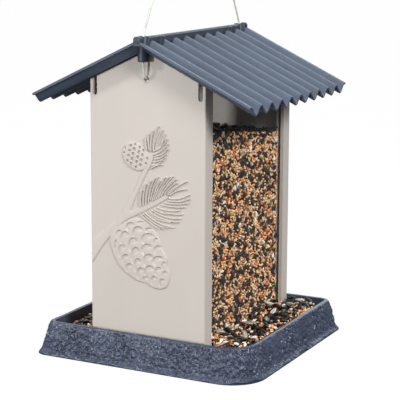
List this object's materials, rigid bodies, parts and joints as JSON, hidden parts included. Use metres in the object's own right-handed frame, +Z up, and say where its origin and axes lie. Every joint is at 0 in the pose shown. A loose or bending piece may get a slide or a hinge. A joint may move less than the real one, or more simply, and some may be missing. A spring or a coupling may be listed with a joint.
{
  "type": "hanging hopper bird feeder",
  "caption": "Hanging hopper bird feeder: corrugated lift-up gable roof, two end panels with a pine sprig relief, clear lift-out windows and an open seed tray, hung on a coated cable.",
  "frame": {"origin": "inner top of the cable loop, where a hook carries the feeder; the feeder hangs below it", "axes": "+Z up, +Y along the roof ridge from the front end panel to the rear one, +X across the ridge towards the right window"},
  "size_m": [0.232, 0.23, 0.467],
  "materials": {
    "tray_plastic": "slate blue moulded plastic, rough stone texture on the skirt",
    "panel_plastic": "taupe moulded plastic, fine satin",
    "roof_plastic": "blue-grey moulded plastic, satin",
    "window_clear": "clear sheet",
    "cable_coating": "pale clear-coated wire",
    "steel": "plated"
  },
  "bodies": {
    "root": {"base_tray": "tray_plastic", "seed_deflector": "tray_plastic", "end_panel_front": "panel_plastic", "end_panel_rear": "panel_plastic", "cable_loop": "cable_coating", "cable_ferrule": "steel", "cable_strand_front": "cable_coating", "cable_strand_rear": "cable_coating", "cable_tail_front": "cable_coating", "cable_tail_rear": "cable_coating", "cable_stop_front": "steel", "cable_stop_rear": "steel", "panel_screw_1": "steel", "panel_screw_2": "steel", "panel_screw_3": "steel", "panel_screw_4": "steel"},
    "roof": {"roof": "roof_plastic"},
    "window_left": {"window_left": "window_clear"},
    "window_right": {"window_right": "window_clear"}
  },
  "joints": [
    {"name": "roof_lift", "type": "slide", "parent": "root", "child": "roof", "axis": [0, 0, 1], "range_m": [0, 0.065], "deforming": ["cable_strand_front", "cable_strand_rear", "cable_tail_front", "cable_tail_rear"]},
    {"name": "window_left_lift", "type": "slide", "parent": "root", "child": "window_left", "axis": [0, 0, 1], "range_m": [0, 0.007]},
    {"name": "window_right_lift", "type": "slide", "parent": "root", "child": "window_right", "axis": [0, 0, 1], "range_m": [0, 0.007]}
  ]
}
